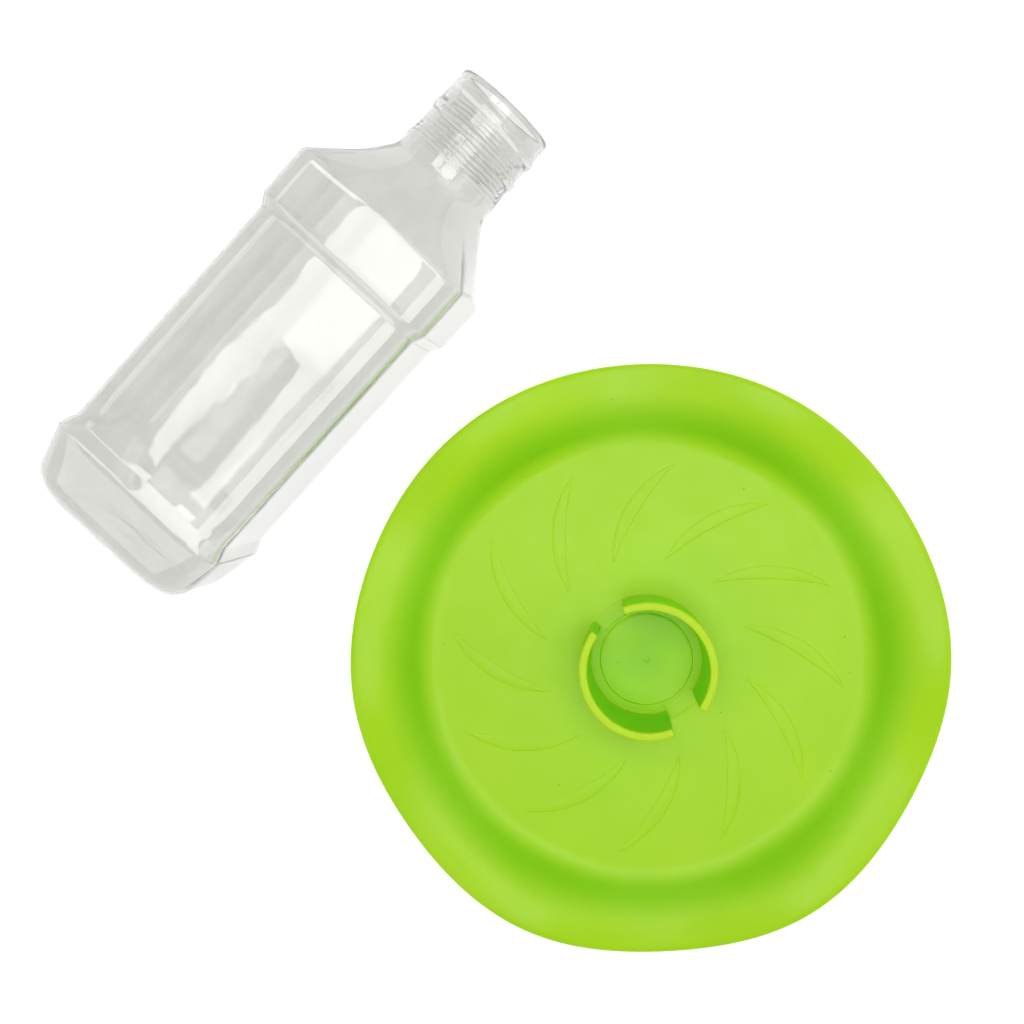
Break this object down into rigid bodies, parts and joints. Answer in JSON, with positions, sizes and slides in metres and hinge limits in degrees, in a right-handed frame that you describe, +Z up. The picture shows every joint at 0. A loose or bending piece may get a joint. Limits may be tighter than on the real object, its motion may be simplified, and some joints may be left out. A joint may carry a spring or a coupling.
{
  "type": "wasp trap",
  "caption": "Wasp bait station: a green dish with a wavy flared rim, swirled ribs and a split collar, beside a clear square screw-neck bottle that stands upside down in the collar.",
  "frame": {"origin": "centre of the dish's flat underside, on the ground", "axes": "+Z up along the collar's axis; +X parallel to the lying bottle's axis, from its base to its mouth; +Y from the dish to the bottle"},
  "size_m": [0.2086, 0.2982, 0.068],
  "materials": {
    "green_plastic": "semi-gloss moulded lime green, slightly translucent",
    "clear_plastic": "clear glossy blown plastic"
  },
  "bodies": {
    "dish": {"bait_dish": "green_plastic"},
    "bottle": {"bait_bottle": "clear_plastic"}
  },
  "joints": [
    {"name": "bottle_lift", "type": "slide", "parent": "dish", "child": "bottle", "axis": [0, 0, 1], "range_m": [0, 0.16]}
  ]
}
